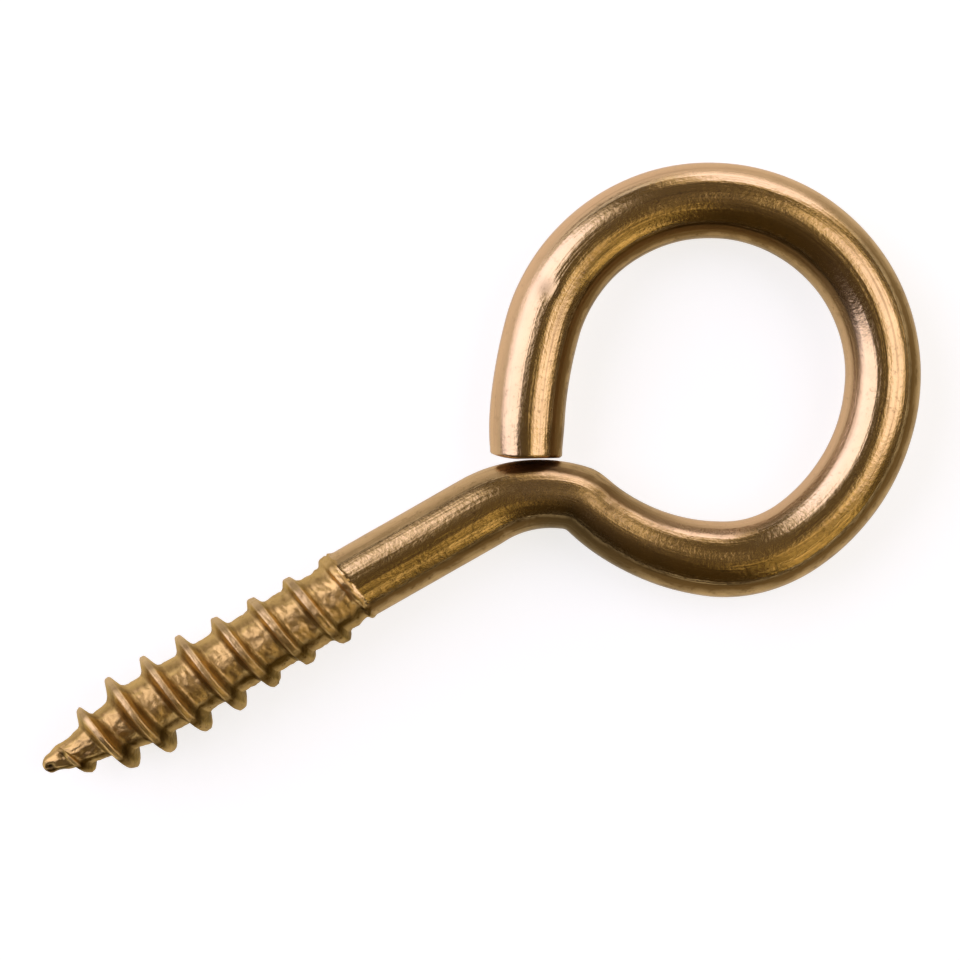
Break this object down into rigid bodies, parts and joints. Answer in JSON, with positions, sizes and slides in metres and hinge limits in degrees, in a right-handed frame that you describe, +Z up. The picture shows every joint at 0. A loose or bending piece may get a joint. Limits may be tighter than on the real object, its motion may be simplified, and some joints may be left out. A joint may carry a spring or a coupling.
{
  "type": "screw eye",
  "caption": "Brass screw eye bent from one wire: a wood screw thread with a gimlet point, a pinched neck and a round eye that takes a hook, cord or picture wire.",
  "frame": {"origin": "middle of the bounding box, at the level that the lowest thread crests lie on", "axes": "+X from the gimlet point to the eye, along the thread's axis, +Z up along the axis of the eye, so the part lies flat"},
  "size_m": [0.0404, 0.0178, 0.004],
  "materials": {
    "brass": "polished wire, worn, with a duller rough thread"
  },
  "bodies": {
    "root": {"screw_eye": "brass"}
  },
  "joints": []
}
